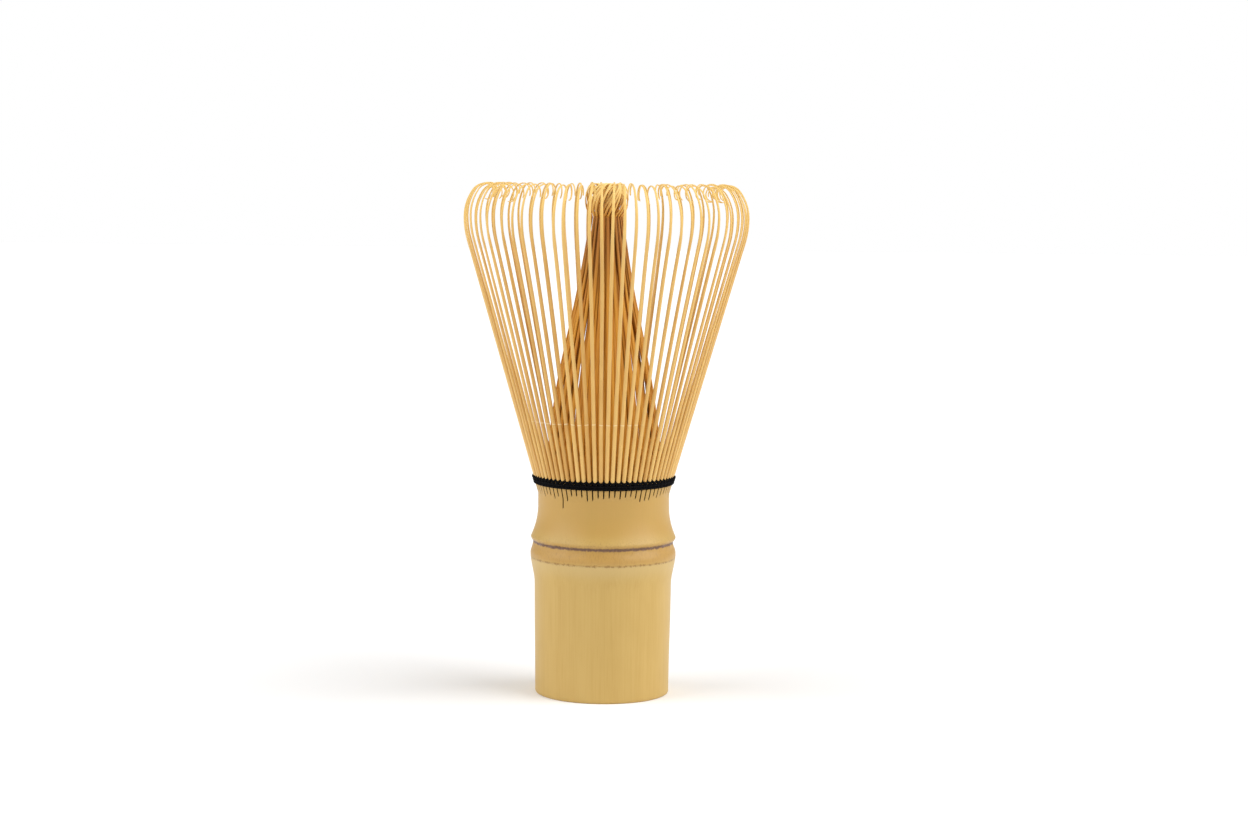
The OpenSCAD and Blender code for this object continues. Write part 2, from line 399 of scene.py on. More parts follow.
def strip_tree():
    """Node tree that sweeps a flat, round-edged strip along lines.

    The lines carry place, side and out, and the strip's width along side and thickness along out."""
    if "Shaved Strips" in bpy.data.node_groups:
        return bpy.data.node_groups["Shaved Strips"]
    tree, given = start_tree("Shaved Strips", [("Sides", "Int", 8)])
    curve = add(tree, "GeometryNodeMeshToCurve", {"Mesh": given["Lines"]}).outputs["Curve"]
    circle = add(tree, "GeometryNodeCurvePrimitiveCircle", {"Resolution": given["Sides"], "Radius": 0.5})
    position = add(tree, "GeometryNodeInputPosition").outputs[0]
    profile = add(
        tree,
        "GeometryNodeStoreNamedAttribute",
        {"Geometry": circle.outputs["Curve"], "Name": "section", "Value": position},
        data_type="FLOAT_VECTOR",
    ).outputs[0]
    strips = swept(tree, curve, profile)
    kinds = dict.fromkeys(("place", "side", "out", "section"), "FLOAT_VECTOR")
    kinds.update(dict.fromkeys(("width", "thickness"), "FLOAT"))
    read = {
        name: add(tree, "GeometryNodeInputNamedAttribute", {"Name": name}, data_type=kind).outputs[0]
        for name, kind in kinds.items()
    }
    section = add(tree, "ShaderNodeSeparateXYZ", {0: read["section"]}).outputs
    moved = read["place"]
    for axis, across, size in (("X", "side", "width"), ("Y", "out", "thickness")):
        reach = times(tree, section[axis], read[size])
        moved = vector_maths(tree, "ADD", moved, scaled(tree, read[across], reach))
    placed = add(tree, "GeometryNodeSetPosition", {"Geometry": strips, "Position": moved})
    return end_tree(tree, placed.outputs[0], given["Material"])


def thread_tree():
    """Node tree that twists plies round lines, as a spun thread's lie."""
    if "Twisted Thread" in bpy.data.node_groups:
        return bpy.data.node_groups["Twisted Thread"]
    tree, given = start_tree(
        "Twisted Thread",
        [("Plies", "Int", 3), ("Diameter", "Float", 0.5 * MM), ("Twist", "Float", 1.5 * MM)],
    )
    curve = add(tree, "GeometryNodeMeshToCurve", {"Mesh": given["Lines"]}).outputs["Curve"]
    copies = add(
        tree,
        "GeometryNodeDuplicateElements",
        {"Geometry": curve, "Amount": given["Plies"]},
        domain="SPLINE",
    ).outputs
    run = add(tree, "GeometryNodeSplineParameter").outputs["Length"]
    turn = maths(tree, "DIVIDE", run, given["Twist"])
    share = maths(tree, "DIVIDE", copies["Duplicate Index"], given["Plies"])
    turn = times(tree, maths(tree, "ADD", turn, share), FULL_TURN)
    normal = add(tree, "GeometryNodeInputNormal").outputs[0]
    tangent = add(tree, "GeometryNodeInputTangent").outputs[0]
    across = vector_maths(tree, "CROSS_PRODUCT", tangent, normal)
    # The plies are pressed into each other: their radius and their offset as shares of the diameter
    ply = times(tree, given["Diameter"], 0.31)
    off = times(tree, given["Diameter"], 0.23)
    along_normal = scaled(tree, normal, times(tree, maths(tree, "COSINE", turn), off))
    along_across = scaled(tree, across, times(tree, maths(tree, "SINE", turn), off))
    step = vector_maths(tree, "ADD", along_normal, along_across)
    wound = add(tree, "GeometryNodeSetPosition", {"Geometry": copies["Geometry"], "Offset": step})
    circle = add(tree, "GeometryNodeCurvePrimitiveCircle", {"Resolution": 6, "Radius": ply})
    return end_tree(tree, swept(tree, wound.outputs[0], circle.outputs["Curve"]), given["Material"])


# ---- materials ----


def new_material(name):
    """An empty material with a surface shader, its tree and its Object coordinates."""
    material = bpy.data.materials.new(name)
    material.use_nodes = True
    tree = material.node_tree
    tree.nodes.clear()
    shader = add(tree, "ShaderNodeBsdfPrincipled")
    add(tree, "ShaderNodeOutputMaterial", {"Surface": shader.outputs["BSDF"]})
    return material, tree, shader, add(tree, "ShaderNodeTexCoord").outputs["Object"]


def stretched(tree, place, width, height):
    """Coordinates that count cells this wide across the bamboo and this long up it, in metres."""
    scale = (1 / width, 1 / width, 1 / height)
    return add(tree, "ShaderNodeMapping", {"Vector": place, "Scale": scale}).outputs[0]


def stretched_noise(tree, place, width, height, detail):
    """Noise whose grains are this wide across the bamboo and this long up it, in metres."""
    cells = stretched(tree, place, width, height)
    values = {"Vector": cells, "Scale": 1.0, "Detail": detail, "Roughness": 0.6}
    return add(tree, "ShaderNodeTexNoise", values).outputs["Fac"]


def spots(tree, place, width, height):
    """Distance from the nearest of scattered spots, in cells this wide and this long, in metres."""
    cells = stretched(tree, place, width, height)
    return add(tree, "ShaderNodeTexVoronoi", {"Vector": cells, "Scale": 1.0}).outputs["Distance"]


def attribute(tree, name, output="Fac"):
    """An attribute of the piece's mesh."""
    return add(tree, "ShaderNodeAttribute", attribute_name=name).outputs[output]


def mask(tree, value, low, high):
    """0 below low and 1 above high, or the other way round when low is the larger."""
    return add(
        tree,
        "ShaderNodeMapRange",
        {"Value": value, "From Min": low, "From Max": high},
        interpolation_type="SMOOTHSTEP",
    ).outputs["Result"]


def distance(tree, value, centre):
    """How far a value is from a centre."""
    return maths(tree, "ABSOLUTE", maths(tree, "SUBTRACT", value, centre))


def weighed(tree, *terms):
    """The sum of values, each times its weight."""
    total = None
    for value, weight in terms:
        term = times(tree, value, weight)
        total = term if total is None else maths(tree, "ADD", total, term)
    return total


def laid(tree, under, over, where, share=1.0):
    """One look or plain colour over another, by where, from 0 to 1, times share."""
    looks = [look if isinstance(look, bpy.types.NodeSocket) else (*look, 1.0) for look in (under, over)]
    factor = where if share == 1.0 else times(tree, where, share)
    return add(tree, "ShaderNodeMix", {0: factor, 6: looks[0], 7: looks[1]}, data_type="RGBA").outputs[2]


def finish_shader(tree, shader, look, roughness, relief, depth, strength):
    """Gives a shader its colour and roughness, and fine relief of this depth in metres."""
    bump = add(tree, "ShaderNodeBump", {"Height": relief, "Distance": depth, "Strength": strength})
    tree.links.new(bump.outputs[0], shader.inputs["Normal"])
    tree.links.new(look, shader.inputs["Base Color"])
    shader.inputs["Roughness"].default_value = roughness


def skin_tone(tree, place, height, fibres, culm):
    """The culm's skin away from its node: streaked and clouded, deeper in the neck, with a waxy bloom
    just below the root ring."""
    bands = stretched_noise(tree, place, width=3.2 * MM, height=60 * MM, detail=2)
    clouds = stretched_noise(tree, place, width=6 * MM, height=9 * MM, detail=2)
    shade = mask(tree, weighed(tree, (fibres, 0.45), (bands, 0.35), (clouds, 0.25)), 0.3, 0.95)
    look = laid(tree, culm.skin_colour, culm.shade_colour, shade)
    neck_look = laid(tree, culm.neck_colour, culm.shade_colour, shade)
    neck = mask(tree, height, culm.node_height + 0.6 * MM, culm.node_height + 4 * MM)
    look = laid(tree, look, neck_look, neck, 0.8)
    ring = culm.node_height - culm.ring_drop
    fade_in = mask(tree, height, ring - 4 * MM, ring - 0.4 * MM)
    fade_out = mask(tree, height, ring + 0.2 * MM, ring)
    return laid(tree, look, culm.bloom_colour, times(tree, fade_in, fade_out), 0.45)


def root_ring(tree, look, place, level, culm):
    """The row of small buds below the node, on a faint line."""
    off_ring = distance(tree, level, culm.node_height - culm.ring_drop + 0.1 * MM)
    buds = mask(tree, spots(tree, place, width=MM / 1.5, height=2 * MM), 0.6, 0.4)
    buds = times(tree, buds, mask(tree, off_ring, 0.26 * MM, 0.1 * MM))
    look = laid(tree, look, culm.bud_colour, buds, 0.6)
    return laid(tree, look, culm.ring_colour, mask(tree, off_ring, 0.4 * MM, 0.04 * MM), 0.32)


def sheath_scar(tree, look, place, height, level, streaks, culm):
    """The dark scar that the sheath left, and the specks of its hairs above it."""
    off_scar = distance(tree, level, culm.node_height + 0.15 * MM)
    scar_look = laid(tree, culm.scar_colour, culm.worn_scar_colour, streaks)
    look = laid(tree, look, scar_look, mask(tree, off_scar, 0.48 * MM, 0.14 * MM), 0.92)
    specks = mask(tree, stretched_noise(tree, place, width=0.2 * MM, height=0.26 * MM, detail=2), 0.56, 0.66)
    near = mask(tree, height, culm.node_height + 3.4 * MM, culm.node_height + 0.3 * MM)
    above = mask(tree, height, culm.node_height + 0.1 * MM, culm.node_height + 0.4 * MM)
    specks = times(tree, specks, times(tree, near, above))
    return laid(tree, look, culm.speck_colour, specks, 0.5)


def dry_culm_skin(culm):
    """Dry bamboo skin, washed and left natural: fine upright fibres under a faint waxy sheen, an orange
    collar between the root ring's buds and the dark, ragged scar, and painted shade, near black, in the
    starts of the slits."""
    material, tree, shader, place = new_material("Dry bamboo culm skin")
    height = add(tree, "ShaderNodeSeparateXYZ", {0: place}).outputs["Z"]
    fibres = stretched_noise(tree, place, width=0.32 * MM, height=14 * MM, detail=3)
    look = skin_tone(tree, place, height, fibres, culm)
    # The edges at the node wander up and down
    ragged = stretched_noise(tree, place, width=0.5 * MM, height=0.8 * MM, detail=4)
    wander = times(tree, maths(tree, "SUBTRACT", ragged, 0.5), 0.9 * MM)
    level = maths(tree, "ADD", height, wander)
    # The collar between ring and scar is streaked with short brown fibres
    ring = culm.node_height - culm.ring_drop
    from_ring = mask(tree, level, ring - 0.1 * MM, ring + 0.8 * MM)
    to_scar = mask(tree, level, culm.node_height + 1.6 * MM, culm.node_height + 0.2 * MM)
    collar = times(tree, from_ring, to_scar)
    streaks = mask(tree, stretched_noise(tree, place, width=0.22 * MM, height=1.6 * MM, detail=3), 0.5, 0.68)
    look = laid(tree, look, laid(tree, culm.ridge_colour, culm.streak_colour, streaks, 0.55), collar, 0.6)
    look = root_ring(tree, look, place, level, culm)
    look = sheath_scar(tree, look, place, height, level, streaks, culm)
    # Painted shade: near black in the slits, following how deep they are cut, where little light reaches
    look = laid(tree, look, culm.slit_shade_colour, mask(tree, attribute(tree, "slit"), 0.02, 0.18))
    relief = maths(tree, "ADD", fibres, times(tree, ragged, collar))
    finish_shader(tree, shader, look, roughness=0.44, relief=relief, depth=0.03 * MM, strength=0.4)
    shader.inputs["IOR"].default_value = 1.46
    return material


def cut_culm_wall(culm):
    """Sawn and scraped bamboo wall: pale wood with the brown dots of its fibre bundles, closer together
    towards the skin, and no sheen."""
    material, tree, shader, place = new_material("Sawn bamboo wall")
    grain = stretched_noise(tree, place, width=0.5 * MM, height=6 * MM, detail=3)
    look = laid(tree, culm.pith_colour, culm.grain_colour, mask(tree, grain, 0.35, 0.7))
    bundles = mask(tree, spots(tree, place, width=MM / 2.6, height=MM / 0.06), 0.36, 0.14)
    look = laid(tree, look, culm.bundle_colour, bundles, 0.6)
    finish_shader(tree, shader, look, roughness=0.72, relief=grain, depth=0.08 * MM, strength=0.6)
    return material


def shaved_bamboo(name, light, dark, tip, roughness, extra):
    """Bamboo split and shaved by hand: a satin knife-cut face with long fibres, each tine a little
    lighter or darker than the next, and thin tips that look paler."""
    material, tree, shader, place = new_material(name)
    tone, along = attribute(tree, "tone"), attribute(tree, "along")
    # Fibres follow each tine: a few across its width, and long along it
    own = {"X": times(tree, tone, 40.0), "Z": times(tree, along, 9.0)}
    own = add(tree, "ShaderNodeCombineXYZ", own).outputs[0]
    across = scaled(tree, attribute(tree, "section", "Vector"), 5.0)
    cell = vector_maths(tree, "ADD", own, across)
    fibres = add(tree, "ShaderNodeTexNoise", {"Vector": cell, "Scale": 1.0, "Detail": 2.0}).outputs["Fac"]
    patches = stretched_noise(tree, place, width=1.6 * MM, height=9 * MM, detail=2)
    shade = mask(tree, weighed(tree, (fibres, 0.5), (patches, 0.3), (tone, 0.3)), 0.36, 0.86)
    look = laid(tree, light, dark, shade)
    look = laid(tree, look, tip, mask(tree, along, 0.7, 0.9), 0.8)
    look = extra(tree, look, place, along)
    finish_shader(tree, shader, look, roughness, relief=fibres, depth=0.015 * MM, strength=0.4)
    shader.inputs["IOR"].default_value = 1.46
    return material


def front_pale_line(tree, look, place, _along):
    """A faint pale line painted across the front tines, a little above the lacing."""
    spot = add(tree, "ShaderNodeSeparateXYZ", {0: place}).outputs
    tines = bpy.context.scene.whisk_tines
    wave = stretched_noise(tree, place, width=3 * MM, height=3 * MM, detail=1)
    level = maths(tree, "ADD", spot["Z"], times(tree, wave, 0.8 * MM))
    off = distance(tree, level, LACE_HIGH.z + tines.front_line_height)
    # It reaches further to the left than to the right
    ahead = maths(tree, "ADD", spot["Y"], times(tree, spot["X"], 0.27))
    front = mask(tree, ahead, -14 * MM, -16 * MM)
    # The pale line is painted only across the front tines
    line = times(tree, mask(tree, off, 0.16 * MM, 0.06 * MM), front)
    return laid(tree, look, tines.front_line_colour, line, 0.5)


def neck_shade(tree, look, _place, along):
    """Painted shade: deep amber on the inner tines just under the knot, where the knot above and the crowded
    tines shade them.
    """
    # Painted shade in a band of the tines' length, just below where their tips curl into the knot
    neck = times(tree, mask(tree, along, 0.42, 0.66), mask(tree, along, 0.74, 0.69))
    return laid(tree, look, bpy.context.scene.whisk_bundle.neck_colour, neck, 0.8)


def inner_material(bundle):
    """The one material of the inner tines and their tips."""
    name = "Shaved bamboo inner tine"
    return bpy.data.materials.get(name) or shaved_bamboo(
        name, bundle.light_colour, bundle.dark_colour, bundle.knot_colour, roughness=0.62, extra=neck_shade
    )


def dyed_cotton(lacing):
    """Black dyed cotton thread, spun from plies and pulled tight: matt, with painted highlights in grey
    specks where the fluff of fibre ends catches light.
    """
    material, tree, shader, place = new_material("Black dyed cotton thread")
    cells = stretched(tree, place, MM / 6, MM / 6)
    fluff = add(tree, "ShaderNodeTexNoise", {"Vector": cells, "Scale": 1.0, "Detail": 2.0}).outputs["Fac"]
    # Painted highlight: grey specks for the light that the fibre ends catch
    look = laid(tree, lacing.colour, lacing.fluff_glint_colour, mask(tree, fluff, 0.55, 0.8))
    finish_shader(tree, shader, look, roughness=0.9, relief=fluff, depth=0.05 * MM, strength=0.6)
    shader.inputs["IOR"].default_value = 1.35
    shader.inputs["Specular IOR Level"].default_value = 0.2
    return material


# ---- culm ----


def tine_direction(number):
    """Angle from +X of an outer tine. A half number is the gap after a tine."""
    tines = bpy.context.scene.whisk_tines
    even = FULL_TURN * (number + 0.5) / tines.count
    return even - tines.drift * math.sin(even) - math.pi / 2


def pitch_share(number):
    """Local spacing of the tines over the even spacing."""
    tines = bpy.context.scene.whisk_tines
    return 1 - tines.drift * math.cos(FULL_TURN * (number + 0.5) / tines.count)


def skin_radius(height):
    """Radius of the culm's skin at a height, before its small irregularities."""
    culm, tines = bpy.context.scene.whisk_culm, bpy.context.scene.whisk_tines
    stations = [
        (0.0, culm.foot_radius),
        (culm.node_height - 9 * MM, culm.foot_radius + culm.swell),
        (culm.node_height - 2.4 * MM, culm.ridge_radius),
        (culm.node_height, culm.ridge_radius - culm.groove_depth),
        (culm.node_height + 1.1 * MM, culm.ridge_radius - culm.lip_drop),
    ]
    for (low, start), (high, end) in zip(stations, stations[1:]):
        if height < high:
            return start + (end - start) * smooth((height - low) / (high - low))
    # Above the lip the neck draws in fast at first
    lip_height, lip_radius = stations[-1]
    if height < culm.neck_height:
        left = (culm.neck_height - height) / (culm.neck_height - lip_height)
        return culm.neck_radius + (lip_radius - culm.neck_radius) * left ** 2
    return culm.neck_radius + max(0.0, height - culm.flare_height) * math.tan(tines.lean)


# How far the sawn foot's edge is rounded off, by height
FOOT_CUT = {0.0: 0.35 * MM, 0.12 * MM: 0.12 * MM, 0.4 * MM: 0.0}


def skin_rows(culm, collar_top):
    """Heights of the skin's rings of vertices, close together at the node and at the slits."""
    node = culm.node_height
    return [
        *FOOT_CUT,
        *spaced(1 * MM, node - 6 * MM, 1.1 * MM),
        *spaced(node - 6 * MM, node + 2.4 * MM, 0.17 * MM),
        *spaced(node + 2.4 * MM, LACE_LOW.z - 6 * MM, 0.5 * MM),
        *spaced(LACE_LOW.z - 6 * MM, collar_top, 0.26 * MM),
        collar_top,
    ]


def grown_radius(height, way):
    """Radius of the skin with the small irregularities of a grown culm: it is never quite round, and
    its scar is ragged."""
    culm = bpy.context.scene.whisk_culm
    near_scar = math.exp(-(((height - culm.node_height) / (1.2 * MM)) ** 2))
    oval = 0.05 * MM * math.cos(2 * way + 0.7)
    ragged = 0.16 * MM * near_scar * noise.noise(ray(way) * 9 + UP * (height / MM * 0.9))
    waves = 0.05 * MM * noise.noise(ray(way) * 3 + UP * (height / MM * 0.08))
    seat = culm.seat_depth if height > LACE_LOW.z else 0.0
    return skin_radius(height) - FOOT_CUT.get(height, 0.0) + oval + ragged + waves - seat


class WHISK_OT_culm(bpy.types.Operator):
    """Turn the culm handle: foot, node, neck and the slit collar up to the lacing"""

    bl_idname = "whisk.culm"
    bl_label = "Culm Handle"

    def execute(self, context):
        culm, tines = context.scene.whisk_culm, context.scene.whisk_tines
        per_tine = 8
        columns = tines.count * per_tine
        ways = [tine_direction(column / per_tine) for column in range(columns)]
        chance = random.Random(tines.seed)
        slit_lengths = [chance.uniform(culm.slit_short, culm.slit_long) for _ in range(tines.count)]
        # One slit ran on into the neck as a crack, left of the front
        cracked = -9
        slit_lengths[cracked] = culm.crack
        slit_fade = 0.9 * MM
        collar_top = LACE_LOW.z + 0.7 * MM
        work = bmesh.new()
        slit = work.verts.layers.float.new("slit")
        rings = []
        for height in skin_rows(culm, collar_top):
            ring = []
            for column, way in enumerate(ways):
                depth = 0.0
                if column % per_tine == per_tine // 2:
                    start = LACE_LOW.z - slit_lengths[column // per_tine]
                    depth = smooth((height - start) / slit_fade)
                radius = grown_radius(height, way) - culm.slit_depth * depth
                vertex = work.verts.new(ray(way) * radius + UP * height)
                vertex[slit] = depth
                ring.append(vertex)
            rings.append(ring)
        skin_faces = (len(rings) - 1) * columns
        root_radius = context.scene.whisk_bundle.root_radius - 0.4 * MM
        cup_radius = root_radius - 1.4 * MM
        septum_radius = SEPTUM_HIGH.x + 0.02 * MM
        inside = [
            (root_radius, collar_top),
            (root_radius, culm.flare_height),
            (cup_radius, culm.flare_height - 2.2 * MM),
            (cup_radius, SEPTUM_HIGH.z),
            (septum_radius, SEPTUM_HIGH.z),
            (septum_radius, SEPTUM_LOW.z),
            (BORE_RADIUS, SEPTUM_LOW.z),
            (BORE_RADIUS, 14 * MM),
            (BORE_RADIUS, 0.3 * MM),
            (BORE_RADIUS + 0.2 * MM, 0.0),
        ]
        for radius, height in inside:
            rings.append([work.verts.new(ray(way) * radius + UP * height) for way in ways])
        for low, high in zip(rings, [*rings[1:], rings[0]]):
            bridge(work, low, high)
        for index, face in enumerate(work.faces):
            face.material_index = 0 if index < skin_faces else 1
        mesh = finished_mesh(work, bpy.data.meshes.new("culm_handle"))
        piece = new_piece("culm_handle", mesh, [dry_culm_skin(culm), cut_culm_wall(culm)])
        mesh.set_sharp_from_angle(angle=math.radians(50))
        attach(piece, "handle")
        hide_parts("culm")
        return {"FINISHED"}


class WHISK_OT_septum(bpy.types.Operator):
    """Form the septum: the thin wall that closes the culm at its node, dished and ringed as it grew"""

    bl_idname = "whisk.septum"
    bl_label = "Septum"

    def execute(self, context):
        columns, steps = 96, 24
        work = bmesh.new()
        rims = []
        # The underside is hollowed upwards and the top is hollowed less
        for level, dish in ((SEPTUM_LOW.z, 0.5 * MM), (SEPTUM_HIGH.z, -0.35 * MM)):
            rings = []
            for step in range(1, steps + 1):
                share = step / steps
                # The rings die out before the rim, which fits the culm
                fade = 1 - smooth((share - 0.82) / 0.16)
                ring = []
                for column in range(columns):
                    place = ray(FULL_TURN * column / columns) * share
                    wave = 0.12 * MM * noise.noise(place * 4 + UP * (level / MM))
                    ripple = math.copysign(0.06 * MM * math.sin(share * 26) + wave, dish)
                    hollow = dish * math.sqrt(max(0.0, 1 - share * share))
                    height = level + (hollow + ripple) * fade
                    ring.append(work.verts.new(place * SEPTUM_HIGH.x + UP * height))
                rings.append(ring)
            centre = work.verts.new((0.0, 0.0, level + dish))
            for column, vertex in enumerate(rings[0]):
                work.faces.new((centre, vertex, rings[0][(column + 1) % columns]))
            for inner, outer in zip(rings, rings[1:]):
                bridge(work, inner, outer)
            rims.append(rings[-1])
        bridge(work, *rims)
        mesh = finished_mesh(work, bpy.data.meshes.new("node_septum"))
        piece = new_piece("node_septum", mesh, [cut_culm_wall(context.scene.whisk_culm)])
        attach(piece, "handle")
        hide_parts("septum")
        return {"FINISHED"}


# ---- tines ----


def tine_course(chance):
    """The way of an outer tine in its own plane, as radius, height and heading from upright: the points
    of its straight stem, and those of its curl."""
    tines = bpy.context.scene.whisk_tines
    # The curl: the heading at the end of each arc, inwards negative, and the arcs' radii
    last = chance.choice((-195.0, -210.0, -230.0, -255.0, -285.0))
    headings = [tines.lean, *(math.radians(heading) for heading in (0.0, -35.0, -90.0, last))]
    radii = [18 * MM, 9.4 * MM, 3.4 * MM * chance.uniform(0.9, 1.05), chance.uniform(1.4, 1.95) * MM]
    steps = (4, 5, 8, 14)
    rise = sum(r * (math.sin(a) - math.sin(b)) for r, a, b in zip(radii[:3], headings, headings[1:]))
    top = WHISK_TOP - tines.tip_thickness / 2 - abs(chance.gauss(0, 1)) * tines.unevenness
    foot = LACE_LOW.z + 0.25 * MM
    foot_radius = skin_radius(foot) - tines.root_thickness / 2 / math.cos(tines.lean)

    def on_stem(height):
        return (foot_radius + (height - foot) * math.tan(tines.lean), height, tines.lean)

    stem = [on_stem(height) for height in spaced(foot, top - rise, 2.4 * MM)]
    curl = [on_stem(top - rise)]
    for arc, a, b, count in zip(radii, headings, headings[1:], steps):
        radius, height, _ = curl[-1]
        for step in range(1, count + 1):
            turned = mixed(a, b, step / count)
            out = arc * (math.cos(turned) - math.cos(a))
            up = arc * (math.sin(a) - math.sin(turned))
            curl.append((radius + out, height + up, turned))
    return stem, curl


def run_length(course):
    """Length along a course of radii and heights."""
    return sum(math.dist(p[:2], q[:2]) for p, q in zip(course, course[1:]))


def outer_tine(number, chance):
    """The middle line of one outer tine, from under the lacing to its curled tip."""
    tines = bpy.context.scene.whisk_tines
    stem, curl = tine_course(chance)
    stem_length, curl_length = run_length([stem[0], curl[0]]), run_length(curl)
    sway, drift = chance.gauss(0, 1) * tines.sway, chance.gauss(0, 1) * tines.tip_drift
    tone = chance.random()
    way = tine_direction(number)
    root_width = tines.root_width * pitch_share(number)
    line, run = [], 0.0
    previous = stem[0]
    for point in stem + curl:
        radius, height, heading = point
        run += run_length([previous, point])
        previous = point
        on_stem = min(run / stem_length, 1.0)
        on_curl = max(0.0, (run - stem_length) / curl_length)
        width = mixed(root_width, tines.shoulder_width, on_stem)
        thickness = mixed(tines.root_thickness, tines.shoulder_thickness, on_stem)
        # Small bends sideways on the way up, and a tip that drifts as it curls
        bend = sway * smooth(on_stem) * math.sin(2.2 * on_stem) + drift * on_curl ** 2
        line.append(
            {
                "place": ray(way) * radius + UP * height + aside(way) * bend,
                "side": aside(way),
                "out": ray(way) * math.cos(heading) - UP * math.sin(heading),
                "width": mixed(width, tines.tip_width, on_curl),
                "thickness": mixed(thickness, tines.tip_thickness, on_curl ** 0.7),
                "along": run / (stem_length + curl_length),
                "tone": tone,
            }
        )
    round_tip(line)
    return line


def round_tip(line):
    """Draws in the last point of a line, where the tip is cut round."""
    line[-1]["width"] *= 0.6
    line[-1]["thickness"] *= 0.6


class WHISK_OT_outer_tines(bpy.types.Operator):
    """Shave the outer tines: a group for each hinge, each tine leaning out and curled in at its tip"""

    bl_idname = "whisk.outer_tines"
    bl_label = "Outer Tines"

    def execute(self, context):
        tines = context.scene.whisk_tines
        material = shaved_bamboo(
            "Shaved bamboo outer tine",
            tines.light_colour,
            tines.dark_colour,
            tines.tip_colour,
            roughness=0.36,
            extra=front_pale_line,
        )
        chance = random.Random(tines.seed)
        each = tines.count // len(HINGES)
        for index, hinge in enumerate(HINGES):
            name = frame["record"]["behaviour"]["bodies"][hinge["child"]][0]
            lines = [outer_tine(index * each + i, chance) for i in range(each)]
            piece = strip_piece("shaved_" + name, lines, 10, material)
            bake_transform(piece)
            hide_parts(name)
        return {"FINISHED"}


def strip_piece(name, lines, sides, material):
    """A piece of shaved strips along lines of points."""
    inputs = {"Sides": sides, "Material": material}
    return new_piece(name, run_nodes(polylines(name, lines), strip_tree(), inputs), [material])


def bundle_jitter(bundle):
    """Small differences between the inner tines, the same for all stretches of one tine."""
    chance = random.Random(bundle.seed)
    return [
        {
            "way": chance.gauss(0, 0.006),
            "bow": chance.uniform(-1, 1) * bundle.bow,
            "lean": chance.gauss(0, 0.012),
            "tone": chance.random(),
            "swirl": chance.uniform(0.5, 1.25),
            "size": chance.uniform(0.96, 1.0),
            "depth": math.radians(chance.uniform(175.0, 215.0)),
        }
        for _ in range(bundle.count)
    ]


def inner_tine(number, low, high, step, jitter):
    """The middle line of one inner tine between two heights of its shaft."""
    bundle = bpy.context.scene.whisk_bundle
    layer_radius = bundle.neck_radius - number % bundle.layers * bundle.layer_step
    line = []
    for height in [*spaced(low, high, step), high]:
        share = (height - INNER_FOOT) / (KNOT_LOW.z - INNER_FOOT)
        # The bundle bulges low down, and each tine bends a little in its middle
        bulge = math.sin(math.pi * min(1.0, share * 1.15)) ** 2 * (1 - share)
        middle = math.sin(math.pi * share) ** 2
        radius = mixed(bundle.root_radius, layer_radius, share)
        radius += bundle.belly * bulge + jitter["bow"] * middle
        way = tine_direction(number + 0.5) + jitter["way"] + jitter["lean"] * middle
        line.append(
            {
                "place": ray(way) * radius + UP * height,
                "side": aside(way),
                "out": (ray(way) + UP * 0.15).normalized(),
                "width": mixed(bundle.root_width, bundle.neck_width, share ** 1.5),
                "thickness": mixed(bundle.root_thickness, bundle.tip_thickness, share),
                "along": share * 0.7,
                "tone": jitter["tone"],
            }
        )
    return line


class WHISK_OT_inner_tines(bpy.types.Operator):
    """Shave the inner tines: they close from the wall's ring of roots to the neck under the knot"""

    bl_idname = "whisk.inner_tines"
    bl_label = "Inner Tines"

    def execute(self, context):
        material = inner_material(context.scene.whisk_bundle)
        jitters = bundle_jitter(context.scene.whisk_bundle)
        for name, low, high, parent, child, nodes in (
            ("inner_tine_shafts_low", INNER_FOOT, SWAY_SPLIT, "handle", "bundle_middle",
             ("inner_tine_roots", "inner_tines_middle")),
            ("inner_tine_shafts_high", SWAY_SPLIT, KNOT_LOW.z, "bundle_middle", "bundle_upper",
             ("inner_tines_upper",)),
        ):
            lines = [inner_tine(number, low, high, 1.8 * MM, one) for number, one in enumerate(jitters)]
            piece = strip_piece(name, lines, 8, material)
            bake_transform(piece)
            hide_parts(*nodes)
        return {"FINISHED"}


